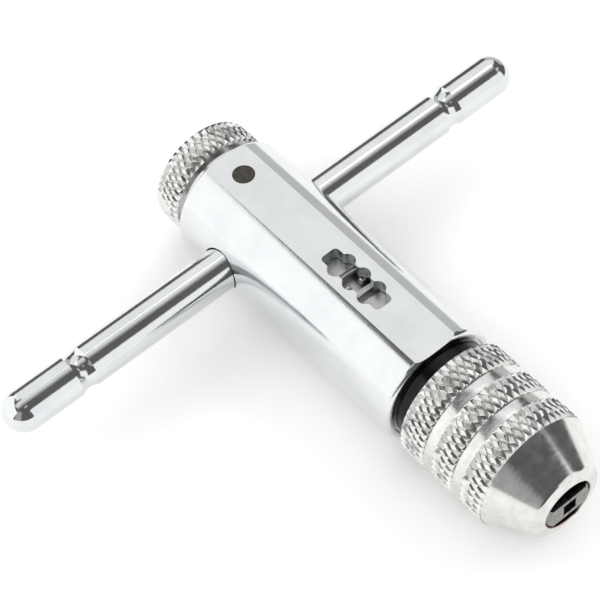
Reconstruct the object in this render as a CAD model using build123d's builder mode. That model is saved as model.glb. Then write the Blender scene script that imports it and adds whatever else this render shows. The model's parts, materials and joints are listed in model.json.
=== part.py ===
from build123d import *
import os
from math import cos, radians, sin

# Ratchet tap wrench lying on its side, in millimetres.
# +X runs along the sliding bar, +Y along the spindle towards the selector knob, +Z up out of the flat.
# Stations are distances along the spindle from the bar's centre line, negative towards the nose.

# Where the spindle and the bar lie
sleeve_radius = 10.4
axis_height = sleeve_radius
spindle_x = 1.1
cross_y = 24.55

# Clearances shared by the fits
running_gap = 0.08
slide_gap = 0.05
jaw_gap = 0.06

# Body
body_radius = 10.3
body_top = 10.6
body_end = -39.0
flat_height = 9.54
barrel_radius = 7.22
body_bore = barrel_radius + running_gap
end_bore = 8.4
end_bore_depth = 3.8
seat_groove_radius = 8.98
seat_groove_width = 0.28
seat_groove_depth = 0.6
rim_round = 0.8

# Sliding bar
bar_radius = 3.5
bar_length = 102.0
bar_groove_inset = 13.8
bar_groove_half_width = 1.5
bar_groove_depth = 0.45
bar_hole_gap = 0.2

# Retaining pin on the flat
pin_radius = 1.8
pin_station = 5.62

# Window in the flat
window_near = -14.65
window_far = -27.75
window_width = 3.25
window_shift = -0.25
lobe_radius = 1.3
lobe_spread = 1.2
lobe_pitch = 3.43
lobe_shoulder = 0.4
window_corner = 0.75
window_middle = (window_near + window_far) / 2

# Selector
selector_turn = 20.0
knob_radius = 9.35
knob_near = 12.35
knob_end = 17.95
knob_neck_radius = 8.2
spigot_radius = 5.0
spigot_end = 15.35
barrel_top = 10.45
barrel_end = -27.6
collar_width = 1.1
clip_wire = 0.62
neck_radius = barrel_radius - 2 * clip_wire
pin_groove_radius = 5.8
index_station = 8.4
index_ball_radius = 1.0
bar_ball_radius = 1.5
plunger_radius = 0.75
spring_wire = 0.2
plunger_arm = barrel_radius - plunger_radius - 0.17

# Ratchet
gear_teeth = 12
gear_radius = barrel_radius - 2.22
gear_root = gear_radius - 1.7
gear_near = -27.9
pawl_near = -28.2
pawl_far = -33.2
pawl_outer = body_bore - 0.15
pawl_inner = pawl_outer - 1.1
pawl_reach = 52.0
pawl_tooth_angle = 45.0
pawl_tip = gear_radius - 0.7
pivot_arm = body_bore + 0.9
pivot_radius = 0.75
pivot_hub = 1.35

# Spindle
flange_near = -33.5
flange_far = -35.9
thread_radius = 5.95
bearing_radius = thread_radius + 0.03
relief_radius = thread_radius - 0.65
thread_bore = thread_radius + running_gap
bearing_end = -42.0
thread_near = -50.4
thread_end = -58.5
shank_bore = 2.9

# End ring
end_ring_radius = 8.7
end_ring_thick = 2.4

# Chuck sleeve
sleeve_near = -41.7
sleeve_travel = 5.0
band_groove_1 = -46.7
band_groove_2 = -52.8
smooth_ring_width = 1.9
smooth_ring_radius = 10.1
cone_start = -59.2
nose_edge_station = -66.1
nose_edge_radius = 6.5
nose_front = -66.75
mouth_radius = 4.35
cone_taper = 0.3
cavity_near = -56.5
stop_ring_near = -44.0
stop_ring_thick = 1.2

# Jaws
jaw_thick = 4.0
jaw_face = -67.05
jaw_back = -51.2
jaw_shoulder = -61.7
jaw_tail_radius = thread_radius - 1.5
jaw_skin = 0.12
socket_size = 2.4
socket_depth = 11.4
jaw_spring_station = -53.6

spindle_axis = Axis((spindle_x, cross_y, axis_height), (0, 1, 0))
bar_axis = Axis((0, cross_y, axis_height), (1, 0, 0))


def facing_nose(station, up=0.0):
    """Plane across the spindle, looking along it to the nose."""
    return Plane(
        origin=(spindle_x, cross_y + station, axis_height + up),
        x_dir=(1, 0, 0),
        z_dir=(0, -1, 0),
    )


def beside_spindle(angle=0.0):
    """Plane through the spindle axis, with local X as radius and local Y as station."""
    turn = radians(angle)
    return Plane(
        origin=(spindle_x, cross_y, axis_height),
        x_dir=(cos(turn), 0, sin(turn)),
        z_dir=(-sin(turn), 0, cos(turn)),
    )


def turned(*points):
    """Face to revolve, from radius and station pairs."""
    with BuildSketch(beside_spindle()) as profile:
        with BuildLine():
            Polyline(*points, close=True)
        make_face()
    return profile.sketch


def ring_sector(inner, outer, middle, half_angle):
    """Piece of a ring about the spindle."""
    with BuildSketch() as sector:
        with BuildLine():
            far = CenterArc((0, 0), outer, middle - half_angle, 2 * half_angle)
            near = CenterArc((0, 0), inner, middle - half_angle, 2 * half_angle)
            Line(far @ 0, near @ 0)
            Line(far @ 1, near @ 1)
        make_face()
    return sector.sketch


def coil(start, direction, radius, wire, length, turns):
    """Coil spring wound about a line from its start point."""
    with BuildPart() as spring:
        with BuildLine() as path:
            Helix(length / turns, length, radius, center=start, direction=direction)
        with BuildSketch(Plane(origin=path.line @ 0, z_dir=path.line % 0)):
            Circle(wire)
        sweep()
    return spring.part


# Body: a turned barrel with one flat
with BuildPart() as body:
    with BuildSketch(facing_nose(body_top)):
        Circle(body_radius)
    extrude(amount=body_top - body_end)
    fillet(body.edges().filter_by(GeomType.CIRCLE), rim_round)
    with BuildSketch(facing_nose(body_top, flat_height)):
        Rectangle(3 * body_radius, body_radius, align=(Align.CENTER, Align.MIN))
    extrude(amount=body_top - body_end, mode=Mode.SUBTRACT)
    revolve(
        turned((0, body_top + 1), (body_bore, body_top + 1), (body_bore, body_end - 1), (0, body_end - 1)),
        axis=spindle_axis,
        mode=Mode.SUBTRACT,
    )
    revolve(
        turned(
            (0, body_end + end_bore_depth),
            (end_bore, body_end + end_bore_depth),
            (end_bore, body_end - 1),
            (0, body_end - 1),
        ),
        axis=spindle_axis,
        mode=Mode.SUBTRACT,
    )
    # Shallow groove round the end ring's seat
    with BuildSketch(facing_nose(body_end + seat_groove_depth)):
        Circle(seat_groove_radius + seat_groove_width)
        Circle(seat_groove_radius, mode=Mode.SUBTRACT)
    extrude(amount=seat_groove_depth, mode=Mode.SUBTRACT)
    # Cross hole for the bar
    with BuildSketch(Plane(origin=(0, cross_y, axis_height), x_dir=(0, 1, 0), z_dir=(1, 0, 0))):
        Circle(bar_radius + bar_hole_gap)
    extrude(amount=2 * body_radius, both=True, mode=Mode.SUBTRACT)
    # Pin hole and window, both cut through the flat
    with BuildSketch(Plane(origin=(spindle_x, cross_y, axis_height + body_bore / 2))):
        with Locations((0, pin_station)):
            Circle(pin_radius)
        with BuildSketch(Location((window_shift, window_middle)), mode=Mode.PRIVATE) as window:
            Rectangle(window_width, window_near - window_far)
            with GridLocations(2 * lobe_spread, lobe_pitch, 2, 3):
                Circle(lobe_radius)
            fillet(window.vertices().group_by(Axis.Y)[0] + window.vertices().group_by(Axis.Y)[-1], window_corner)
            shoulders = window.vertices().filter_by(lambda v: abs(v.Y) < lobe_pitch + lobe_radius)
            fillet(shoulders, lobe_shoulder)
        add(window.sketch)
    extrude(amount=body_radius, mode=Mode.SUBTRACT)
    # Pocket for the pawl
    with BuildSketch(facing_nose(pawl_near + 0.2)):
        add(ring_sector(gear_radius, pawl_outer + 1.15, -90, pawl_reach + 10))
        with Locations((0, -pivot_arm)):
            Circle(pivot_hub + 0.1)
    extrude(amount=pawl_near - pawl_far + 0.4, mode=Mode.SUBTRACT)
    with BuildSketch(facing_nose(pawl_near + 1.6)):
        with Locations((0, -pivot_arm)):
            Circle(pivot_radius)
    extrude(amount=pawl_near + 1.6 - body_end - end_bore_depth, mode=Mode.SUBTRACT)
    # Track for the index ball
    with BuildSketch(facing_nose(index_station + index_ball_radius)):
        add(ring_sector(barrel_radius, body_bore + 0.55, -90, selector_turn + 10))
    extrude(amount=2 * index_ball_radius, mode=Mode.SUBTRACT)
body.part.label = "body"

with BuildPart() as retaining_pin:
    with BuildSketch(Plane(origin=(spindle_x, cross_y + pin_station, axis_height + flat_height))):
        Circle(pin_radius)
    extrude(amount=pin_groove_radius + 0.1 - flat_height)
    chamfer(retaining_pin.edges().group_by(Axis.Z)[0], 0.2)
    chamfer(retaining_pin.edges().group_by(Axis.Z)[-1], 0.12)
retaining_pin.part.label = "retaining_pin"

with BuildPart() as pawl_pivot_pin:
    with BuildSketch(facing_nose(pawl_near + 1.5)):
        with Locations((0, -pivot_arm)):
            Circle(pivot_radius)
    extrude(amount=pawl_near + 1.5 - body_end - end_bore_depth)
pawl_pivot_pin.part.label = "pawl_pivot_pin"

# Ring that closes the body and carries the spindle
with BuildPart() as end_ring:
    revolve(
        turned(
            (bearing_radius + slide_gap, flange_far - 0.2),
            (end_bore, flange_far - 0.2),
            (end_bore, body_end),
            (end_ring_radius, body_end),
            (end_ring_radius, body_end - end_ring_thick + 0.3),
            (end_ring_radius - 0.3, body_end - end_ring_thick),
            (bearing_radius + slide_gap, body_end - end_ring_thick),
        ),
        axis=spindle_axis,
    )
end_ring.part.label = "end_ring"

# Sliding bar with domed ends and a waist near each end
groove_x = bar_length / 2 - bar_groove_inset
with BuildPart() as sliding_bar:
    with BuildSketch(Plane(origin=(0, cross_y, axis_height))):
        with BuildLine():
            left_dome = RadiusArc(
                (-bar_length / 2, 0), (-bar_length / 2 + bar_radius, bar_radius), bar_radius
            )
            left_waist = ThreePointArc(
                (-groove_x - bar_groove_half_width, bar_radius),
                (-groove_x, bar_radius - bar_groove_depth),
                (-groove_x + bar_groove_half_width, bar_radius),
            )
            right_waist = ThreePointArc(
                (groove_x - bar_groove_half_width, bar_radius),
                (groove_x, bar_radius - bar_groove_depth),
                (groove_x + bar_groove_half_width, bar_radius),
            )
            right_dome = RadiusArc(
                (bar_length / 2 - bar_radius, bar_radius), (bar_length / 2, 0), bar_radius
            )
            Line(left_dome @ 1, left_waist @ 0)
            Line(left_waist @ 1, right_waist @ 0)
            Line(right_waist @ 1, right_dome @ 0)
            Line(right_dome @ 1, left_dome @ 0)
        make_face()
    revolve(axis=bar_axis)
sliding_bar.part.label = "sliding_bar"

# Knurled selector knob
with BuildPart() as selector_knob:
    revolve(
        turned(
            (0, knob_end),
            (knob_radius - 1.6, knob_end),
            (knob_radius - 0.45, knob_end - 0.4),
            (knob_radius, knob_end - 0.85),
            (knob_radius, knob_near + 0.4),
            (knob_radius - 0.4, knob_near),
            (knob_neck_radius, knob_near),
            (knob_neck_radius, body_top + 0.15),
            (spigot_radius, body_top + 0.15),
            (spigot_radius, spigot_end),
            (0, spigot_end),
        ),
        axis=spindle_axis,
    )
selector_knob.part.label = "selector_knob"

# Selector barrel: the part of the knob that reaches down past the bar to the window
upper_collar = window_near - 2.95
lower_collar = upper_collar - 4.2
ridge_width = 0.85
hollow_width = 1.3
ball_hole = bar_ball_radius + running_gap
index_ball_arm = body_bore + 0.45 - index_ball_radius
with BuildPart() as selector_barrel:
    revolve(
        turned(
            (0, spigot_end),
            (spigot_radius, spigot_end),
            (spigot_radius, barrel_top),
            (barrel_radius, barrel_top),
            (barrel_radius, upper_collar - 0.12),
            (barrel_radius - 0.4, upper_collar - 0.3),
            (barrel_radius, upper_collar - 0.48),
            (barrel_radius, upper_collar - 0.74),
            (barrel_radius - 0.4, upper_collar - 0.92),
            (barrel_radius, upper_collar - collar_width),
            (neck_radius, upper_collar - collar_width),
            (neck_radius, lower_collar),
            (barrel_radius, lower_collar),
            (barrel_radius, barrel_end),
            (gear_root, barrel_end),
            (gear_root, barrel_end + 3.2),
            (0, barrel_end + 3.2),
        ),
        axis=spindle_axis,
    )
    # Slot that lets the barrel turn about the bar
    for turn in (0, -selector_turn, selector_turn):
        with BuildSketch(facing_nose(bar_radius + 0.1)):
            Rectangle(4 * barrel_radius, 2 * bar_radius + 0.2, rotation=turn)
        extrude(amount=2 * bar_radius + 0.2, mode=Mode.SUBTRACT)
    for side in (0, 180):
        with BuildSketch(facing_nose(bar_radius + 0.1)):
            add(ring_sector(bar_radius, barrel_radius + 0.5, side, selector_turn))
        extrude(amount=2 * bar_radius + 0.2, mode=Mode.SUBTRACT)
    # Bore for the bar's detent ball
    with BuildSketch(facing_nose(13.5)):
        Circle(ball_hole)
    extrude(amount=13.5, mode=Mode.SUBTRACT)
    # Groove that the retaining pin stops in
    with BuildSketch(facing_nose(pin_station + pin_radius + slide_gap)):
        add(ring_sector(pin_groove_radius, barrel_radius + 0.5, 90, selector_turn + 19))
    extrude(amount=2 * (pin_radius + slide_gap), mode=Mode.SUBTRACT)
    # Radial hole for the index ball
    index_hole_foot = axis_height - index_ball_arm + 3.15
    with BuildSketch(Plane(origin=(spindle_x, cross_y + index_station, index_hole_foot), z_dir=(0, 0, -1))):
        Circle(index_ball_radius + slide_gap)
    extrude(amount=barrel_radius, mode=Mode.SUBTRACT)
    # Hole for the pawl plunger
    with BuildSketch(facing_nose(lower_collar - 0.5)):
        with Locations((0, -plunger_arm)):
            Circle(plunger_radius + slide_gap)
    extrude(amount=lower_collar - 0.5 - barrel_end, mode=Mode.SUBTRACT)
    # Hollow seen in the window between the lower collar and the barrel's foot
    with BuildSketch(Plane(origin=(spindle_x, cross_y, axis_height), x_dir=(0, 1, 0), z_dir=(1, 0, 0))):
        with Locations((lower_collar - ridge_width - hollow_width / 2, barrel_radius)):
            SlotOverall(2.6, hollow_width, rotation=90)
    extrude(amount=barrel_radius, both=True, mode=Mode.SUBTRACT)
selector_barrel.part.label = "selector_barrel"

# Open wire clip round the barrel's neck
clip_station = (upper_collar - collar_width + lower_collar) / 2
with BuildPart() as neck_clip:
    with BuildSketch(beside_spindle(80.4)):
        with Locations((neck_radius + clip_wire + 0.01, clip_station)):
            Circle(clip_wire)
    revolve(axis=spindle_axis, revolution_arc=343.8)
    chamfer(neck_clip.edges(), 0.15)
neck_clip.part.label = "neck_clip"

bar_ball_station = bar_radius + bar_ball_radius + 0.02
with BuildPart() as bar_detent_ball:
    with Locations((spindle_x, cross_y + bar_ball_station, axis_height)):
        Sphere(bar_ball_radius)
bar_detent_ball.part.label = "bar_detent_ball"

with BuildPart() as bar_detent_spring:
    spring_foot = bar_ball_station + bar_ball_radius + 0.25
    add(coil((spindle_x, cross_y + spring_foot, axis_height), (0, 1, 0), 1.2, 1.25 * spring_wire, 13.2 - spring_foot, 6))
bar_detent_spring.part.label = "bar_detent_spring"

with BuildPart() as index_ball:
    with Locations((spindle_x, cross_y + index_station, axis_height - index_ball_arm)):
        Sphere(index_ball_radius)
index_ball.part.label = "index_ball"

with BuildPart() as index_spring:
    spring_head = axis_height - index_ball_arm + index_ball_radius + 0.2
    add(coil((spindle_x, cross_y + index_station, spring_head), (0, 0, 1), 0.7, 1.25 * spring_wire, 1.6, 2.5))
index_spring.part.label = "index_spring"

with BuildPart() as pawl_plunger:
    with BuildSketch(beside_spindle(-90)):
        with BuildLine():
            Polyline(
                (plunger_arm, pawl_near + 0.05 + plunger_radius),
                (plunger_arm, pawl_near + 2.3),
                (plunger_arm + plunger_radius, pawl_near + 2.3),
                (plunger_arm + plunger_radius, pawl_near + 0.05 + plunger_radius),
            )
            ThreePointArc(
                (plunger_arm + plunger_radius, pawl_near + 0.05 + plunger_radius),
                (
                    plunger_arm + plunger_radius * cos(radians(45)),
                    pawl_near + 0.05 + plunger_radius * (1 - sin(radians(45))),
                ),
                (plunger_arm, pawl_near + 0.05),
            )
            Line((plunger_arm, pawl_near + 0.05), (plunger_arm, pawl_near + 0.05 + plunger_radius))
        make_face()
    revolve(axis=Axis((spindle_x, cross_y, axis_height - plunger_arm), (0, 1, 0)))
pawl_plunger.part.label = "pawl_plunger"

with BuildPart() as pawl_plunger_spring:
    plunger_spring_foot = pawl_near + 2.5
    add(
        coil(
            (spindle_x, cross_y + plunger_spring_foot, axis_height - plunger_arm),
            (0, 1, 0),
            0.5,
            spring_wire,
            lower_collar - 0.7 - plunger_spring_foot,
            2.5,
        )
    )
pawl_plunger_spring.part.label = "pawl_plunger_spring"

# Double-ended pawl: both teeth are in the gear at rest, one lifts out each way
with BuildPart() as reversing_pawl:
    with BuildSketch(facing_nose(pawl_near)):
        add(ring_sector(pawl_inner, pawl_outer, -90, pawl_reach))
        with Locations((0, -pivot_arm)):
            Circle(pivot_hub)
            Rectangle(2.2, pivot_arm - pawl_inner - 0.2, align=(Align.CENTER, Align.MIN))
        for side in (-90 - pawl_tooth_angle, -90 + pawl_tooth_angle):
            with Locations(Location((0, 0, 0), (0, 0, side))):
                Polygon(
                    (pawl_tip, -0.15),
                    (pawl_inner + 0.3, -0.45),
                    (pawl_inner + 0.3, 0.45),
                    (pawl_tip, 0.15),
                    align=None,
                )
        with Locations((0, -pivot_arm)):
            Circle(pivot_radius + slide_gap, mode=Mode.SUBTRACT)
    extrude(amount=pawl_near - pawl_far)
reversing_pawl.part.label = "reversing_pawl"

# Spindle: pilot, ratchet gear, flange, bearing, thread relief and the slotted front end
with BuildPart() as ratchet_spindle:
    revolve(
        turned(
            (0, barrel_end + 3.0),
            (gear_root - slide_gap, barrel_end + 3.0),
            (gear_root - slide_gap, flange_near),
            (barrel_radius, flange_near),
            (barrel_radius, flange_far),
            (bearing_radius, flange_far),
            (bearing_radius, bearing_end),
            (relief_radius, bearing_end - 0.5),
            (relief_radius, thread_near),
            (thread_radius, thread_near),
            (thread_radius, thread_end + 0.6),
            (thread_radius - 0.6, thread_end),
            (0, thread_end),
        ),
        axis=spindle_axis,
    )
    with BuildSketch(facing_nose(gear_near)):
        Circle(gear_radius)
        with PolarLocations(0, gear_teeth, start_angle=180 / gear_teeth):
            Polygon(
                (gear_root, -0.38),
                (gear_root, 0.38),
                (gear_radius + 0.3, 0.92),
                (gear_radius + 0.3, -0.92),
                align=None,
                mode=Mode.SUBTRACT,
            )
    extrude(amount=gear_near - flange_near)
    # Bore for the tap's shank
    with BuildSketch(facing_nose(bearing_end - 1.5)):
        Circle(shank_bore)
    extrude(amount=bearing_end - 1.5 - thread_end, mode=Mode.SUBTRACT)
    # Slot for the jaws
    with BuildSketch(facing_nose(jaw_back + 0.3)):
        Rectangle(4 * thread_radius, jaw_thick + 2 * jaw_gap)
    extrude(amount=jaw_back + 0.3 - thread_end, mode=Mode.SUBTRACT)
ratchet_spindle.part.label = "ratchet_spindle"

# Open ring in the sleeve's groove that stops the sleeve at the thread's shoulder
with BuildPart() as sleeve_stop_ring:
    with BuildSketch(facing_nose(stop_ring_near)):
        Circle(relief_radius + 1.4)
        Circle(relief_radius + 0.1, mode=Mode.SUBTRACT)
        Rectangle(1.2, 2 * relief_radius, align=(Align.CENTER, Align.MAX), mode=Mode.SUBTRACT)
    extrude(amount=stop_ring_thick)
sleeve_stop_ring.part.label = "sleeve_stop_ring"

# Chuck sleeve: three knurled bands, two plain rings and the nose cone
cavity_radius = mouth_radius + cone_taper * (cavity_near - nose_front)
with BuildPart() as chuck_sleeve:
    revolve(
        turned(
            (thread_bore, sleeve_near),
            (sleeve_radius - 0.4, sleeve_near),
            (sleeve_radius, sleeve_near - 0.4),
            (sleeve_radius, band_groove_1 + 0.2),
            (smooth_ring_radius - 0.2, band_groove_1),
            (smooth_ring_radius, band_groove_1 - 0.2),
            (smooth_ring_radius, band_groove_1 - smooth_ring_width),
            (sleeve_radius, band_groove_1 - smooth_ring_width - 0.2),
            (sleeve_radius, band_groove_2 + 0.2),
            (smooth_ring_radius - 0.2, band_groove_2),
            (smooth_ring_radius, band_groove_2 - 0.2),
            (smooth_ring_radius, band_groove_2 - smooth_ring_width),
            (sleeve_radius, band_groove_2 - smooth_ring_width - 0.2),
            (sleeve_radius, cone_start + 0.25),
            (sleeve_radius - 0.25, cone_start),
            (nose_edge_radius, nose_edge_station),
            (mouth_radius + 0.2, nose_front),
            (mouth_radius, nose_front + 0.15),
            (cavity_radius, cavity_near),
            (thread_bore, cavity_near),
        ),
        axis=spindle_axis,
    )
    with BuildSketch(facing_nose(stop_ring_near + 0.1)):
        Circle(relief_radius + 1.6)
    extrude(amount=stop_ring_thick + 0.2, mode=Mode.SUBTRACT)
chuck_sleeve.part.label = "chuck_sleeve"

# Jaws: two halves of one taper, flat above and below, meeting on a square socket
socket_back = jaw_face + socket_depth


def cone_radius(station):
    """Radius of the jaws' taper at a station."""
    return mouth_radius + cone_taper * (station - nose_front) - jaw_skin


def half_jaw(side):
    """Jaw on the +X side for 1 or the -X side for -1."""
    with BuildPart() as jaw:
        revolve(
            turned(
                (0, jaw_back),
                (jaw_tail_radius, jaw_back),
                (jaw_tail_radius, jaw_shoulder),
                (cone_radius(jaw_shoulder), jaw_shoulder),
                (cone_radius(nose_front + 0.4), nose_front + 0.4),
                (cone_radius(nose_front + 0.4) - 0.6, jaw_face),
                (0, jaw_face),
            ),
            axis=spindle_axis,
        )
        with BuildSketch(facing_nose(jaw_back + 1)):
            with Locations((side * jaw_gap, 0)):
                Rectangle(
                    2 * body_radius,
                    jaw_thick,
                    align=(Align.MIN if side > 0 else Align.MAX, Align.CENTER),
                )
        extrude(amount=jaw_back + 2 - jaw_face, mode=Mode.INTERSECT)
        with BuildSketch(facing_nose(socket_back)):
            Rectangle(socket_size, socket_size)
        extrude(amount=socket_depth + 1, mode=Mode.SUBTRACT)
        with BuildSketch(
            Plane(origin=(spindle_x, cross_y + jaw_spring_station, axis_height), z_dir=(side, 0, 0))
        ):
            Circle(0.95)
        extrude(amount=2.6, mode=Mode.SUBTRACT)
    return jaw.part


with BuildPart() as jaw_right:
    add(half_jaw(1))
jaw_right.part.label = "jaw_right"

with BuildPart() as jaw_left:
    add(half_jaw(-1))
jaw_left.part.label = "jaw_left"

with BuildPart() as jaw_spring:
    add(coil((spindle_x - 2.35, cross_y + jaw_spring_station, axis_height), (1, 0, 0), 0.68, spring_wire, 4.7, 5))
jaw_spring.part.label = "jaw_spring"

pieces = (
    body,
    retaining_pin,
    pawl_pivot_pin,
    end_ring,
    sliding_bar,
    selector_knob,
    selector_barrel,
    neck_clip,
    bar_detent_ball,
    bar_detent_spring,
    index_ball,
    index_spring,
    pawl_plunger,
    pawl_plunger_spring,
    reversing_pawl,
    ratchet_spindle,
    sleeve_stop_ring,
    chuck_sleeve,
    jaw_right,
    jaw_left,
    jaw_spring,
)

os.makedirs("parts", exist_ok=True)
for piece in pieces:
    export_step(piece.part, f"parts/{piece.part.label}.step")
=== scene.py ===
import bpy
import json
from math import atan2, cos, hypot, pi, radians, sin
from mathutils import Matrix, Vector


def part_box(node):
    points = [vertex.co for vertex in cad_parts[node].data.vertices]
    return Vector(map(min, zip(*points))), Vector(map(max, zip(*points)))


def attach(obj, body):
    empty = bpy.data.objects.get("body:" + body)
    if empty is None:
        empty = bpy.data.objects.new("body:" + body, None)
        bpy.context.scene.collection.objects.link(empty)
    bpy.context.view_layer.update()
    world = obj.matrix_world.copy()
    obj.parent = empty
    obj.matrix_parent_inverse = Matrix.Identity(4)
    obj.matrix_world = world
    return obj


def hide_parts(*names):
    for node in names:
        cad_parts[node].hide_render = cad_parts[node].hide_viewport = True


# Small ratchet tap wrench: chromed barrel and sliding bar, knurled knob and knurled two-jaw chuck.
# Everything is in metres in the CAD frame, and mm is only a factor for typing sizes.
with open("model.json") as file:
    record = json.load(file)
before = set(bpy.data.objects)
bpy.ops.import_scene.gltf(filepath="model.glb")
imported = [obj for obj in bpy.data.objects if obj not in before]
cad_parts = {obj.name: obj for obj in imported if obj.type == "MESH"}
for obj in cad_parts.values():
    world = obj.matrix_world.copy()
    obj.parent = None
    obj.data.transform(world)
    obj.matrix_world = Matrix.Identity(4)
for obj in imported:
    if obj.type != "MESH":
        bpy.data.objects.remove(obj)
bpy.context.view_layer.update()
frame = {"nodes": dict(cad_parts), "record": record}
mm = 0.001
samePlace = 0.01 * mm  # a point this near a row is taken to be on it
mergeReach = 0.002 * mm
smoothUnder = radians(25)
print("frame loaded:", len(frame["nodes"]), "nodes")


def toLinear(hexColour):
    channels = [int(hexColour[i:i + 2], 16) / 255 for i in (1, 3, 5)]
    return [c / 12.92 if c <= 0.04045 else ((c + 0.055) / 1.055) ** 2.4 for c in channels] + [1.0]


def addNode(tree, kind, settings={}, links={}):
    node = tree.nodes.new(kind)
    for name, value in settings.items():
        if isinstance(name, int) or name in node.inputs:
            node.inputs[name].default_value = value
        else:
            setattr(node, name, value)
    for name, output in links.items():
        tree.links.new(node.inputs[name], output)
    return node


def newMaterial(name):
    material = bpy.data.materials.new(name)
    material.use_nodes = True
    material.node_tree.nodes.clear()
    return material, material.node_tree


spindleLow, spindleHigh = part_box("chuck_sleeve")
spindleX = (spindleLow[0] + spindleHigh[0]) / 2
spindleZ = (spindleLow[2] + spindleHigh[2]) / 2
barLow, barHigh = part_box("sliding_bar")
barY = (barLow[1] + barHigh[1]) / 2

# patch is the size of the cloudy bloom, grain that of the fine grain and turnedPitch the spacing of tool
# marks round the spindle, all in mm; a small number in stretch draws the grain out into lines along that axis
metals = {
    "decorativeChrome": {  # bright chrome over buffed steel: near-mirror, with faint buffing lines
        "light": "#E0E2E3", "dark": "#D8DADC", "roughness": (0.09, 0.14), "patch": 6.0,
        "grain": 0.25, "stretch": (1, 1, 0.05), "grainDepth": 0.004,
    },
    "brightNickel": {  # bright nickel over turned and knurled steel: softer gloss and fine tool marks
        "light": "#E2E2E0", "dark": "#CFCFCD", "roughness": (0.13, 0.21), "patch": 1.6,
        "grain": 0.3, "stretch": (1, 1, 1), "grainDepth": 0.006, "turnedPitch": 0.7,
    },
    "blackOxide": {  # hot blackening over finely turned steel: near black, with an oily gloss
        "light": "#2E2D2D", "dark": "#242323", "roughness": (0.16, 0.24), "patch": 1.2,
        "grain": 0.15, "stretch": (1, 1, 1), "grainDepth": 0.004, "turnedPitch": 0.4,
    },
    "brownedSteel": {  # bare steel tempered and oiled until it has gone brown
        "light": "#56534C", "dark": "#403E39", "roughness": (0.28, 0.40), "patch": 0.9,
        "grain": 0.15, "stretch": (1, 1, 1), "grainDepth": 0.006,
    },
    "turnedSteel": {  # uncoated steel straight off the lathe, dulled by oil
        "light": "#CDCFCE", "dark": "#B2B4B3", "roughness": (0.38, 0.50), "patch": 0.9,
        "grain": 0.2, "stretch": (1, 1, 1), "grainDepth": 0.01, "turnedPitch": 0.6,
    },
    "polishedSteel": {  # ground and tumbled steel balls and pins
        "light": "#CFD0D0", "dark": "#BFC0C0", "roughness": (0.10, 0.16), "patch": 0.8,
        "grain": 0.15, "stretch": (1, 1, 1), "grainDepth": 0.003,
    },
    "springSteel": {  # drawn wire, zinc-bright
        "light": "#D2D3D2", "dark": "#AEB0AF", "roughness": (0.20, 0.32), "patch": 0.5,
        "grain": 0.12, "stretch": (1, 1, 1), "grainDepth": 0.006,
    },
    "groundSteel": {  # hardened jaws with a surface-ground face, its lines lying across the spindle
        "light": "#969795", "dark": "#747573", "roughness": (0.26, 0.38), "patch": 0.8,
        "grain": 0.16, "stretch": (0.08, 1, 1), "grainDepth": 0.01,
    },
}
darkBelow, lightAbove = 0.3, 0.65  # bloom values at which the colour is all dark or all light
glossSpan = (0.3, 0.7)  # bloom values over which the roughness changes
markDepth = 0.0015 * mm
mouthPaintedShade = {  # painted shade: a brown colour standing in for the shade on the tapered wall inside the chuck's mouth
    "colour": "#9A7F78", "radius": 4.35 * mm, "taper": 0.3, "length": 9 * mm,
    "whole": 0.08 * mm, "gone": 0.14 * mm,  # distances outside the wall
}


# paints a brown shade colour over the base colour on the wall inside the chuck's mouth
def paintShadeOver(tree, centred, unshadedBase, paintedShade):
    # the wall is found from the front rim by its taper
    across = addNode(tree, "ShaderNodeMapping", {"Scale": (1, 0, 1)}, {"Vector": centred})
    reach = addNode(tree, "ShaderNodeVectorMath", {"operation": "LENGTH"}, {0: across.outputs[0]})
    axes = addNode(tree, "ShaderNodeSeparateXYZ", {}, {"Vector": centred})
    depth = addNode(tree, "ShaderNodeMath", {"operation": "ADD", 1: barY - spindleLow[1]},
                    {0: axes.outputs["Y"]})
    level = addNode(tree, "ShaderNodeMath", {"operation": "MULTIPLY_ADD", 1: -paintedShade["taper"]},
                    {0: depth.outputs[0], 2: reach.outputs["Value"]})
    onWall = addNode(tree, "ShaderNodeMapRange",
                     {"From Min": paintedShade["radius"] + paintedShade["gone"], "From Max": paintedShade["radius"] + paintedShade["whole"]},
                     {"Value": level.outputs[0]})
    inFront = addNode(tree, "ShaderNodeMath", {"operation": "LESS_THAN", 1: paintedShade["length"]},
                      {0: depth.outputs[0]})
    shadeAmount = addNode(tree, "ShaderNodeMath", {"operation": "MULTIPLY"},
                     {0: onWall.outputs[0], 1: inFront.outputs[0]})
    # painted shade: the brown colour is mixed in at full strength on the mouth wall and fades out away from
    # it
    shadedBase = addNode(tree, "ShaderNodeMix", {"data_type": "RGBA", 7: toLinear(paintedShade["colour"])},
                    {0: shadeAmount.outputs[0], 6: unshadedBase})
    return shadedBase.outputs[2]


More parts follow.
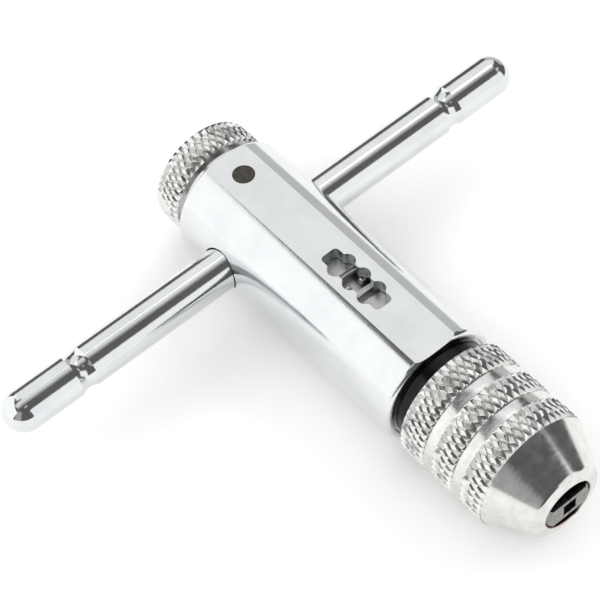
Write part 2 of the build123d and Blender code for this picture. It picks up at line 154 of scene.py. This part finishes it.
def makeMetal(name, values, paintedShade=None):
    material, tree = newMaterial(name)
    place = addNode(tree, "ShaderNodeTexCoord")
    centred = addNode(tree, "ShaderNodeMapping", {"Location": (-spindleX, -barY, -spindleZ)},
                      {"Vector": place.outputs["Object"]}).outputs[0]
    bloom = addNode(tree, "ShaderNodeTexNoise",
                    {"Scale": 1 / (values["patch"] * mm), "Detail": 3.0, "Roughness": 0.6},
                    {"Vector": centred})
    colour = addNode(tree, "ShaderNodeValToRGB", {}, {"Fac": bloom.outputs["Fac"]})
    stops = ((darkBelow, "dark"), (lightAbove, "light"))
    for element, (position, shade) in zip(colour.color_ramp.elements, stops):
        element.position = position
        element.color = toLinear(values[shade])
    base = colour.outputs["Color"]
    # painted shade on the mouth wall, for the chuck's nickel only
    if paintedShade:
        base = paintShadeOver(tree, centred, base, paintedShade)
    gloss = addNode(tree, "ShaderNodeMapRange",
                    {"From Min": glossSpan[0], "From Max": glossSpan[1],
                     "To Min": values["roughness"][0], "To Max": values["roughness"][1]},
                    {"Value": bloom.outputs["Fac"]})
    stretched = addNode(tree, "ShaderNodeMapping", {"Scale": values["stretch"]}, {"Vector": centred})
    grain = addNode(tree, "ShaderNodeTexNoise", {"Scale": 1 / (values["grain"] * mm), "Detail": 2.0},
                    {"Vector": stretched.outputs[0]})
    height = addNode(tree, "ShaderNodeBump", {"Strength": 1.0, "Distance": values["grainDepth"] * mm},
                     {"Height": grain.outputs["Fac"]})
    if "turnedPitch" in values:
        # at a scale of 1 the wave texture repeats every 2 pi / 20
        marks = addNode(tree, "ShaderNodeTexWave",
                        {"bands_direction": "Y", "wave_profile": "SIN",
                         "Scale": 2 * pi / 20 / (values["turnedPitch"] * mm),
                         "Distortion": 0.6, "Detail": 1.0}, {"Vector": centred})
        height = addNode(tree, "ShaderNodeBump", {"Strength": 1.0, "Distance": markDepth},
                         {"Height": marks.outputs["Fac"], "Normal": height.outputs[0]})
    shader = addNode(tree, "ShaderNodeBsdfPrincipled", {"Metallic": 1.0},
                     {"Base Color": base, "Roughness": gloss.outputs[0], "Normal": height.outputs[0]})
    addNode(tree, "ShaderNodeOutputMaterial", {}, {"Surface": shader.outputs[0]})
    return material


made = {name: makeMetal(name, values) for name, values in metals.items()}
# the chuck's nickel, with painted shade on the wall inside its mouth
chuckNickel = makeMetal("chuckNickel", metals["brightNickel"], mouthPaintedShade)
finishes = {
    "polished_chrome": made["decorativeChrome"],
    "satin_nickel": made["brightNickel"],
    "black_oxide": made["blackOxide"],
    "grey_steel": made["turnedSteel"],
    "bright_steel": made["polishedSteel"],
    "spring_steel": made["springSteel"],
    "jaw_steel": made["groundSteel"],
}
for part in frame["record"]["subparts"]:
    isPin = part["node"] == "retaining_pin"
    for materialSlot in frame["nodes"][part["node"]].material_slots:
        materialSlot.material = made["brownedSteel"] if isPin else finishes[part["material_slot"]]
print("metals made and given to the CAD nodes")


def fromSpindle(co):
    return hypot(co.x - spindleX, co.z - spindleZ)


def selectVertices(piece, wanted):
    bpy.ops.object.mode_set(mode="OBJECT")
    mesh = piece.data
    for group in (mesh.polygons, mesh.edges, mesh.vertices):
        group.foreach_set("select", [False] * len(group))
    for vertex in mesh.vertices:
        vertex.select = wanted(vertex.co)
    bpy.ops.object.mode_set(mode="EDIT")


def turnPiece(name, rows, sides, filled):
    # rows are (y, radius); the first loop is drawn out and resized row by row about the spindle
    bpy.ops.object.select_all(action="DESELECT")
    firstY, firstRadius = rows[0]
    bpy.ops.mesh.primitive_circle_add(
        vertices=sides, radius=firstRadius, fill_type="NGON" if filled else "NOTHING",
        location=(spindleX, firstY, spindleZ), rotation=(pi / 2, 0, 0))
    piece = bpy.context.object
    piece.name = name
    bpy.ops.object.transform_apply(location=True, rotation=True, scale=True)
    bpy.ops.object.mode_set(mode="EDIT")
    bpy.ops.mesh.select_mode(type="VERT")
    bpy.ops.mesh.select_all(action="SELECT")
    for (y, radius), (nextY, nextRadius) in zip(rows, rows[1:]):
        growth = nextRadius / radius
        bpy.ops.mesh.extrude_region_move(TRANSFORM_OT_translate={"value": (0, nextY - y, 0)})
        bpy.ops.transform.resize(value=(growth, 1, growth), center_override=(spindleX, nextY, spindleZ))
    bpy.ops.mesh.select_all(action="SELECT")
    bpy.ops.mesh.remove_doubles(threshold=mergeReach)
    bpy.ops.mesh.normals_make_consistent(inside=False)
    bpy.ops.object.mode_set(mode="OBJECT")
    return piece


def bandRows(start, end, look):
    # rows of a knurled band: full height inside, and the crest itself on its two end rows
    crest = look["crest"]
    cut = look["depth"] * look["flat"] / 100
    steps = max(2, round(abs(end - start) / look["halfPitch"]))
    rows = [(start + (end - start) * i / steps, crest + cut) for i in range(steps + 1)]
    rows[0] = (start, crest)
    rows[-1] = (end, crest)
    return rows


def knurl(piece, bands, look):
    step = 2 * pi / look["sides"]
    depth = look["depth"]

    def lattice(co):
        # for a point on a band: 1 at a crossing of two grooves or 0 at a peak, and whether its row is inside
        for rows in bands:
            for j, (y, radius) in enumerate(rows):
                if abs(co.y - y) < samePlace and fromSpindle(co) > radius - samePlace:
                    i = round(atan2(co.x - spindleX, co.z - spindleZ) / step)
                    return (i + j) % 2, 0 < j < len(rows) - 1
        return None

    bpy.context.view_layer.objects.active = piece
    found = {tuple(v.co): lattice(v.co) for v in piece.data.vertices}
    selectVertices(piece, lambda co: found.get(tuple(co)) is not None and found[tuple(co)][0] == 1)
    ratio = 1 - depth / bands[0][1][1]
    bpy.ops.transform.resize(value=(ratio, 1, ratio), center_override=(spindleX, 0, spindleZ))
    bpy.ops.object.mode_set(mode="OBJECT")
    spans = [(min(rows[0][0], rows[-1][0]), max(rows[0][0], rows[-1][0]), rows[0][1] - 2 * depth)
             for rows in bands]
    selectVertices(piece, lambda co: any(
        low - samePlace <= co.y <= high + samePlace and fromSpindle(co) > inner
        for low, high, inner in spans))
    bpy.ops.mesh.quads_convert_to_tris(quad_method="SHORTEST_DIAGONAL")
    bpy.ops.object.mode_set(mode="OBJECT")
    # the peaks are cut flat and left slightly uneven
    selectVertices(piece, lambda co: found.get(tuple(co)) == (0, True))
    bpy.ops.mesh.bevel(offset_type="PERCENT", offset_pct=look["flat"], affect="VERTICES", segments=1)
    bpy.ops.transform.vertex_random(offset=look["wear"], uniform=1.0, seed=3)
    bpy.ops.object.mode_set(mode="OBJECT")


def finishPiece(piece, material, body, nodeName):
    bpy.ops.object.select_all(action="DESELECT")
    piece.select_set(True)
    bpy.context.view_layer.objects.active = piece
    bpy.ops.object.shade_smooth_by_angle(angle=smoothUnder)
    piece.data.materials.clear()
    piece.data.materials.append(material)
    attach(piece, body)
    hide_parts(nodeName)


sleeveLook = {
    "sides": 96,  # two to each diamond round the sleeve, for a 1.2 mm knurl at 30 degrees
    "flat": 55,  # how much of each peak is cut off, in percent
    "halfPitch": 1.2 * mm, "depth": 0.6 * mm, "wear": 0.015 * mm,
    "crest": 10.375 * mm, "ring": 10.1 * mm, "groove": 9.85 * mm, "grooveSlope": 0.2 * mm,
    "rim": (0.35 * mm, 0.45 * mm), "grooves": (5.0 * mm, 11.1 * mm), "ringWidth": 1.9 * mm,
    "coneStart": 17.5 * mm, "coneEdge": 0.25 * mm, "noseEdge": (24.4 * mm, 6.5 * mm),
    "noseRound": ((0, 0.03 * mm), (0.12 * mm, 0.16 * mm)),
    "mouth": 4.35 * mm, "mouthEdge": (0.15 * mm, 0.2 * mm), "threadBore": 6.03 * mm,
    "cavity": (14.8 * mm, 7.42 * mm), "stopGroove": (2.2 * mm, 3.6 * mm, 6.9 * mm),
}


def makeSleeve(look):
    near, front = spindleHigh[1], spindleLow[1]
    crest, ring, ringWidth = look["crest"], look["ring"], look["ringWidth"]
    slope, coneEdge, threadBore = look["grooveSlope"], look["coneEdge"], look["threadBore"]
    rimLength, rimDrop = look["rim"]
    first, second = (near - g for g in look["grooves"])
    cone = near - look["coneStart"]
    bands = [
        bandRows(near - rimLength, first + slope, look),
        bandRows(first - ringWidth - slope, second + slope, look),
        bandRows(second - ringWidth - slope, cone + coneEdge, look),
    ]
    rows = [(near, threadBore), (near, crest - rimDrop)]
    for band, groove in zip(bands, (first, second)):
        rows += band
        rows += [(groove, look["groove"]), (groove - slope, ring), (groove - ringWidth, ring)]
    rows += bands[-1]
    edgeY, edgeRadius = near - look["noseEdge"][0], look["noseEdge"][1]
    coneSlope = (crest - coneEdge - edgeRadius) / (cone - edgeY)
    rows += [(cone, crest - coneEdge), (edgeY + coneEdge, edgeRadius + coneEdge * coneSlope)]
    rows += [(edgeY - past, edgeRadius - inward) for past, inward in look["noseRound"]]
    mouthDepth, mouthFlare = look["mouthEdge"]
    rows += [(front, look["mouth"] + mouthFlare), (front + mouthDepth, look["mouth"])]
    cavityEnd, cavityRadius = near - look["cavity"][0], look["cavity"][1]
    stopNear, stopFar, stopRadius = look["stopGroove"]
    rows += [(cavityEnd, cavityRadius), (cavityEnd, threadBore),
             (near - stopFar, threadBore), (near - stopFar, stopRadius),
             (near - stopNear, stopRadius), (near - stopNear, threadBore), (near, threadBore)]
    sleeve = turnPiece("knurledSleeve", rows, look["sides"], False)
    knurl(sleeve, bands, look)
    return sleeve


sleeve = makeSleeve(sleeveLook)
finishPiece(sleeve, chuckNickel, "sleeve", "chuck_sleeve")
print("sleeve:", len(sleeve.data.polygons), "faces")

knobLook = {
    "sides": 88,  # two to each diamond round the knob
    "flat": 55, "halfPitch": 1.2 * mm, "depth": 0.6 * mm, "wear": 0.015 * mm,
    "crest": 9.33 * mm, "neck": 8.2 * mm, "neckLength": 1.6 * mm, "bore": (5.0 * mm, 4.6 * mm),
    "rim": (0.35 * mm, 0.45 * mm), "bandEnd": 0.85 * mm,
    # bevelled top edge and start of the dish: depth below the end face, and distance in from the crest
    "top": ((0.35 * mm, 0.5 * mm), (0, 1.6 * mm), (0, 2.4 * mm), (0.15 * mm, 2.6 * mm)),
    "dish": (0.15 * mm, 0.5 * mm),
}


def makeKnob(look):
    low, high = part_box("selector_knob")
    near, end = low[1], high[1]
    crest, neck = look["crest"], look["neck"]
    shoulder = near + look["neckLength"]
    bore, depth = look["bore"]
    rimLength, rimDrop = look["rim"]
    dishDepth, dishRadius = look["dish"]
    band = bandRows(shoulder + rimLength, end - look["bandEnd"], look)
    rows = [(near + depth, bore), (near, bore), (near, neck), (shoulder, neck), (shoulder, crest - rimDrop)]
    rows += band
    rows += [(end - down, crest - inward) for down, inward in look["top"]]
    rows += [(end - dishDepth, dishRadius)]
    knob = turnPiece("knurledKnob", rows, look["sides"], True)
    knurl(knob, [band], look)
    return knob


knob = makeKnob(knobLook)
finishPiece(knob, made["brightNickel"], "selector", "selector_knob")
print("knob:", len(knob.data.polygons), "faces")

studio = {
    "aim": (-0.00396, 0.01163, 0.0104),
    "floor": 3.0, "paper": "#F6F6F5", "tooth": 0.8 * mm, "toothDepth": 0.01 * mm, "surround": 0.13,
    # every light: heading from +Y towards +X and height in degrees, distance, width and height in metres,
    # brightness; only glossy things see these
    "boxes": {
        "leftBox": (-52, 23.5, 1.2, 2.4, 1.3, 1.18),
        "backBox": (32, 47.5, 1.2, 1.25, 1.0, 0.9),
        "overheadReflector": (0, 82, 1.2, 1.6, 0.42, 0.75),
        "overheadEdge": (180, 83, 1.2, 1.6, 0.21, 0.3),
        "rightReflector": (61, 11, 1.2, 1.2, 0.47, 0.5),
        "frontBox": (152, 17, 1.2, 1.0, 1.0, 1.0),
        "frontReflector": (-118, 20, 1.2, 0.6, 1.17, 0.32),
        "topStrip": (178, 65, 1.2, 0.3, 0.16, 0.45),
        "sideStrip": (116, 44, 1.2, 0.35, 0.2, 0.6),
    },
    # lights that only the paper and other matte things see
    "washes": {
        "topWash": (0, 90, 0.9, 3.0, 3.0, 0.75),
        "leftWash": (-145, 30, 1.2, 2.0, 1.2, 1.25),
        "backWash": (-35, 30, 1.2, 2.0, 1.2, 1.25),
        "rightWash": (80, 30, 1.2, 2.0, 1.2, 1.25),
    },
}


def aimAt(item, start, target, roll=0):
    back = (Vector(start) - Vector(target)).normalized()
    item.rotation_mode = "XYZ"
    item.rotation_euler = back.to_track_quat("Z", "Y").to_matrix().to_euler()
    item.rotation_euler.rotate_axis("Z", roll)
    item.location = start


def heading(azimuth, elevation):
    a, e = radians(azimuth), radians(elevation)
    return Vector((sin(a) * cos(e), cos(a) * cos(e), sin(e)))


def addSoftbox(name, values, matteOnly):
    azimuth, elevation, distance, width, height, brightness = values
    light = bpy.data.lights.new(name, "AREA")
    light.shape = "RECTANGLE"
    light.size, light.size_y = width, height
    light.energy = brightness * pi * width * height
    lamp = bpy.data.objects.new(name, light)
    bpy.context.scene.collection.objects.link(lamp)
    aimAt(lamp, Vector(studio["aim"]) + heading(azimuth, elevation) * distance, studio["aim"])
    lamp.visible_camera = False
    lamp.visible_diffuse = matteOnly
    lamp.visible_glossy = not matteOnly


bpy.ops.object.select_all(action="DESELECT")
bpy.ops.mesh.primitive_plane_add(size=studio["floor"], location=(0, 0, 0))
floor = bpy.context.object
floor.name = "paperFloor"
paper, tree = newMaterial("mattePaper")  # white background paper, its tooth only a soft unevenness
place = addNode(tree, "ShaderNodeTexCoord")
tooth = addNode(tree, "ShaderNodeTexNoise", {"Scale": 1 / studio["tooth"], "Detail": 3.0},
                {"Vector": place.outputs["Object"]})
height = addNode(tree, "ShaderNodeBump", {"Strength": 0.3, "Distance": studio["toothDepth"]},
                 {"Height": tooth.outputs["Fac"]})
shader = addNode(tree, "ShaderNodeBsdfPrincipled",
                 {"Base Color": toLinear(studio["paper"]), "Roughness": 0.9},
                 {"Normal": height.outputs[0]})
addNode(tree, "ShaderNodeOutputMaterial", {}, {"Surface": shader.outputs[0]})
floor.data.materials.append(paper)

world = bpy.data.worlds.new("studio")
bpy.context.scene.world = world
world.use_nodes = True
world.node_tree.nodes["Background"].inputs["Color"].default_value = (1, 1, 1, 1)
world.node_tree.nodes["Background"].inputs["Strength"].default_value = studio["surround"]
for boxName, boxValues in studio["boxes"].items():
    addSoftbox(boxName, boxValues, False)
for washName, washValues in studio["washes"].items():
    addSoftbox(washName, washValues, True)
bpy.context.scene.view_settings.view_transform = "Standard"

view = {
    "azimuth": -144.7066, "elevation": 54.7993, "distance": 0.375807, "roll": -6.1658,
    "lens": 146.78, "sensor": 36, "clip": 0.01,
}
camera = bpy.data.objects.new("camera", bpy.data.cameras.new("camera"))
bpy.context.scene.collection.objects.link(camera)
camera.data.lens = view["lens"]
camera.data.sensor_width = view["sensor"]
camera.data.clip_start = view["clip"]
standpoint = Vector(studio["aim"]) + heading(view["azimuth"], view["elevation"]) * view["distance"]
aimAt(camera, standpoint, studio["aim"], radians(view["roll"]))
bpy.context.scene.camera = camera
print("studio and camera set")
